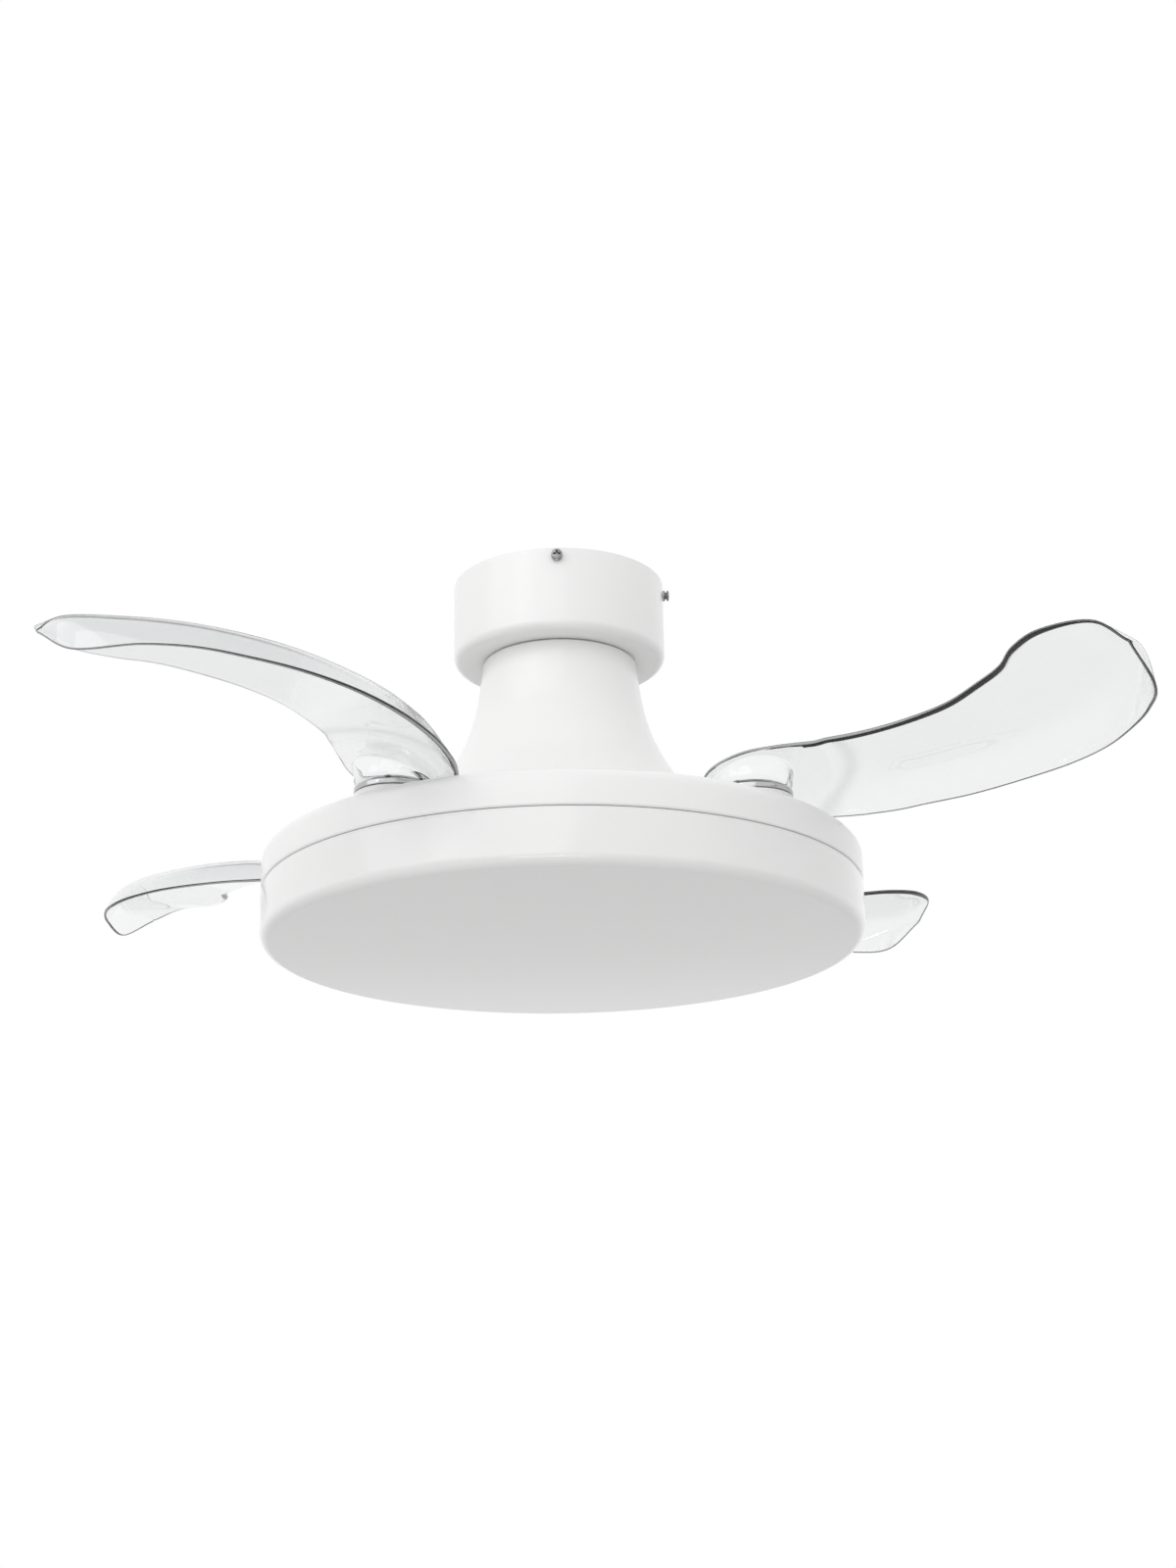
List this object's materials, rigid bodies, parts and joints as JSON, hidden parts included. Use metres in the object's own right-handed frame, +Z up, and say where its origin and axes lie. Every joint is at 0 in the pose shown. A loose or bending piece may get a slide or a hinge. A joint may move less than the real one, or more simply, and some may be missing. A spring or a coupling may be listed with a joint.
{
  "type": "retractable blade ceiling fan",
  "caption": "Ceiling fan with a round lamp: clear curved blades swing out from over the white housing when it runs and fold back when it stops.",
  "frame": {"origin": "centre of the ceiling bracket's top face, on the ceiling and on the fan's axis", "axes": "+Z up along the fan's axis; the picture's camera is on the -Y side, and +X is to its right"},
  "size_m": [0.876, 0.876, 0.322],
  "materials": {
    "white_paint": "smooth white gloss paint",
    "opal_diffuser": "opal acrylic, satin",
    "clear_blade": "clear polished polycarbonate",
    "chrome": "bright plating",
    "zinc_screw": "bright zinc plating",
    "zinc_steel": "zinc-plated steel",
    "dark_steel": "dark electrical steel",
    "copper": "enamelled copper wire",
    "ferrite": "sintered ferrite",
    "bronze": "sintered bronze",
    "gear_plastic": "natural acetal",
    "terminal_plastic": "moulded nylon",
    "black_plastic": "black moulded housing",
    "board_white": "white solder mask on aluminium"
  },
  "bodies": {
    "mounting": {"ceiling_bracket": "zinc_steel", "hanger_yoke": "zinc_steel", "shaft_nut": "zinc_steel", "shaft_pin": "zinc_steel", "motor_shaft": "zinc_steel", "canopy": "white_paint", "terminal_block": "terminal_plastic", "receiver_module": "black_plastic", "neck_cover": "white_paint", "neck_collar": "zinc_steel", "canopy_screw_front": "zinc_screw", "canopy_screw_right": "zinc_screw", "canopy_screw_back": "zinc_screw", "stator_core": "dark_steel", "stator_winding": "copper", "lamp_spacer": "zinc_steel", "lamp_pan": "white_paint", "lamp_nut": "zinc_steel", "led_board": "board_white", "led_driver": "black_plastic", "diffuser": "opal_diffuser", "diffuser_clip_a": "zinc_steel", "diffuser_clip_b": "zinc_steel", "diffuser_clip_c": "zinc_steel"},
    "rotor": {"magnet_ring": "ferrite", "bearing_upper": "zinc_steel", "bearing_lower": "zinc_steel", "motor_bell": "dark_steel", "motor_end_plate": "dark_steel", "carrier_tray": "white_paint", "gear_cover": "zinc_steel", "motor_screw_1": "zinc_steel", "motor_screw_2": "zinc_steel", "motor_screw_3": "zinc_steel", "motor_screw_4": "zinc_steel", "spindle_bush_a": "bronze", "spindle_bush_b": "bronze", "spindle_bush_c": "bronze", "spindle_bush_d": "bronze", "return_spring_a": "zinc_steel", "return_spring_b": "zinc_steel", "return_spring_c": "zinc_steel", "return_spring_d": "zinc_steel"},
    "sync": {"sync_ring": "gear_plastic"},
    "blade_a_arm": {"blade_a": "clear_blade", "blade_hub_a": "chrome", "pinion_a": "gear_plastic", "spindle_clip_a": "zinc_steel"},
    "blade_b_arm": {"blade_b": "clear_blade", "blade_hub_b": "chrome", "pinion_b": "gear_plastic", "spindle_clip_b": "zinc_steel"},
    "blade_c_arm": {"blade_c": "clear_blade", "blade_hub_c": "chrome", "pinion_c": "gear_plastic", "spindle_clip_c": "zinc_steel"},
    "blade_d_arm": {"blade_d": "clear_blade", "blade_hub_d": "chrome", "pinion_d": "gear_plastic", "spindle_clip_d": "zinc_steel"}
  },
  "joints": [
    {"name": "rotor_spin", "type": "hinge", "parent": "mounting", "child": "rotor", "pos_m": [0, 0, 0], "axis": [0, 0, 1], "continuous": true},
    {"name": "sync_turn", "type": "hinge", "parent": "rotor", "child": "sync", "pos_m": [0, 0, 0], "axis": [0, 0, 1], "range_deg": [0, 19.6]},
    {"name": "blade_a_fold", "type": "hinge", "parent": "rotor", "child": "blade_a_arm", "pos_m": [0.15283, -0.12824, 0], "axis": [0, 0, 1], "range_deg": [-140, 0]},
    {"name": "blade_b_fold", "type": "hinge", "parent": "rotor", "child": "blade_b_arm", "pos_m": [0.12824, 0.15283, 0], "axis": [0, 0, 1], "range_deg": [-140, 0]},
    {"name": "blade_c_fold", "type": "hinge", "parent": "rotor", "child": "blade_c_arm", "pos_m": [-0.15283, 0.12824, 0], "axis": [0, 0, 1], "range_deg": [-140, 0]},
    {"name": "blade_d_fold", "type": "hinge", "parent": "rotor", "child": "blade_d_arm", "pos_m": [-0.12824, -0.15283, 0], "axis": [0, 0, 1], "range_deg": [-140, 0]}
  ],
  "couplings": [
    {"joint": "sync_turn", "follows": "blade_a_fold", "ratio": -0.14},
    {"joint": "blade_b_fold", "follows": "blade_a_fold", "ratio": 1},
    {"joint": "blade_c_fold", "follows": "blade_a_fold", "ratio": 1},
    {"joint": "blade_d_fold", "follows": "blade_a_fold", "ratio": 1}
  ]
}
